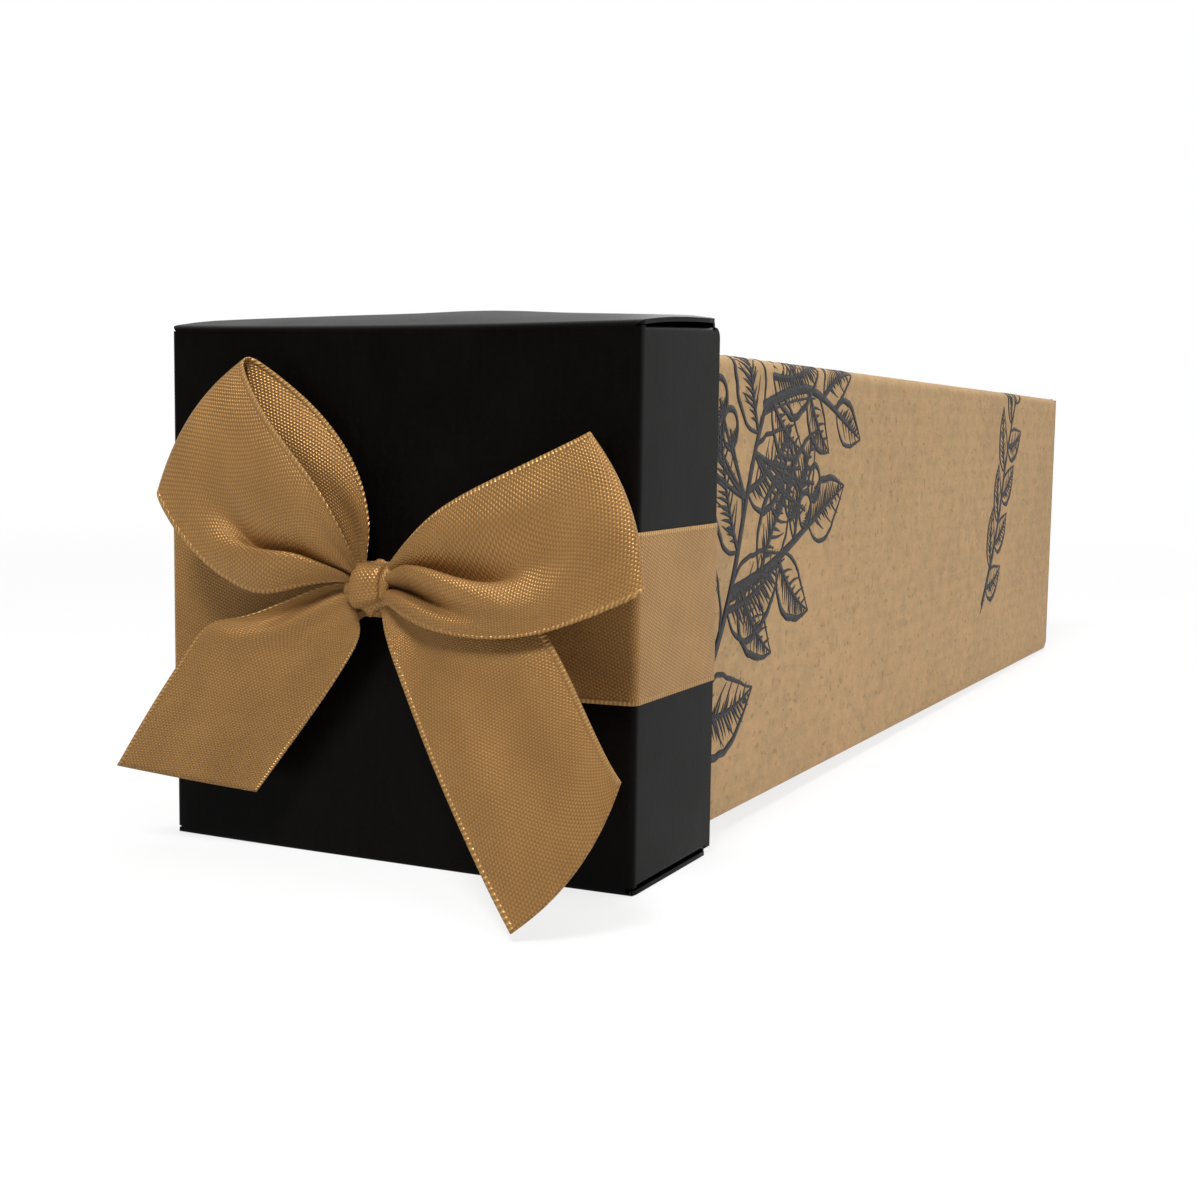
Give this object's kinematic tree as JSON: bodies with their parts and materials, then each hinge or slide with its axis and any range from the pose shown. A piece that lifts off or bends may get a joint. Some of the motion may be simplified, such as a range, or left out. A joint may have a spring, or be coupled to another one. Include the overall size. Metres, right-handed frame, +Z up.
{
  "type": "folding bottle box",
  "caption": "Tall square kraft carton for a wine bottle, lying on its side, with a black folded lid, a satin band and bow, and a tuck-in bottom flap.",
  "frame": {"origin": "middle of the face that the lid lies on, at the surface the box lies on", "axes": "+Z up, +Y from the lid along the box to the carton's far end, +X to the right seen from the lid's end"},
  "size_m": [0.0989, 0.3571, 0.086],
  "materials": {
    "kraft_board": "matt brown corrugated board with fine fibres",
    "black_board": "matt black folded board",
    "satin_ribbon": "old gold satin with a fine twill and an orange-tinted selvedge",
    "clear_glue": "dried hot-melt glue",
    "black_ink": "flat black printed ink"
  },
  "bodies": {
    "carton": {"carton_upper_panel": "kraft_board", "carton_lower_panel": "kraft_board", "carton_right_panel": "kraft_board", "carton_left_panel": "kraft_board", "glue_tab": "kraft_board"},
    "bottom_flap": {"bottom_flap": "kraft_board"},
    "tuck_tongue": {"tuck_tongue": "kraft_board"},
    "dust_flap_right": {"dust_flap_right": "kraft_board"},
    "dust_flap_left": {"dust_flap_left": "kraft_board"},
    "lid": {"lid_end_panel": "black_board", "lid_upper_wall": "black_board", "lid_upper_roll": "black_board", "lid_lower_wall": "black_board", "lid_lower_roll": "black_board", "lid_right_wall": "black_board", "lid_left_wall": "black_board", "corner_flap_upper_right": "black_board", "corner_flap_lower_right": "black_board", "corner_flap_upper_left": "black_board", "corner_flap_lower_left": "black_board", "ribbon_band": "satin_ribbon", "knot_wrap": "satin_ribbon", "knot_core": "satin_ribbon", "glue_dot": "clear_glue", "bow_left_loop": "satin_ribbon", "bow_right_loop": "satin_ribbon", "bow_left_tail": "satin_ribbon", "bow_right_tail": "satin_ribbon"}
  },
  "joints": [
    {"name": "lid_slide", "type": "slide", "parent": "carton", "child": "lid", "axis": [0, -1, 0], "range_m": [0, 0.06]},
    {"name": "bottom_flap_hinge", "type": "hinge", "parent": "carton", "child": "bottom_flap", "pos_m": [0, 0.31324, 0.08], "axis": [1, 0, 0], "range_deg": [0, 150]},
    {"name": "tongue_hinge", "type": "hinge", "parent": "bottom_flap", "child": "tuck_tongue", "pos_m": [0, 0.3125, 0.0018], "axis": [1, 0, 0], "range_deg": [0, 37.5]},
    {"name": "dust_right_hinge", "type": "hinge", "parent": "carton", "child": "dust_flap_right", "pos_m": [0.04, 0.31106, 0.04002], "axis": [0, -0.0094, -1], "range_deg": [0, 82.5]},
    {"name": "dust_left_hinge", "type": "hinge", "parent": "carton", "child": "dust_flap_left", "pos_m": [-0.04, 0.31106, 0.04002], "axis": [0, 0.0094, 1], "range_deg": [0, 82.5]}
  ],
  "couplings": [
    {"joint": "tongue_hinge", "follows": "bottom_flap_hinge", "ratio": 0.25},
    {"joint": "dust_right_hinge", "follows": "bottom_flap_hinge", "ratio": 0.55},
    {"joint": "dust_left_hinge", "follows": "bottom_flap_hinge", "ratio": 0.55}
  ]
}
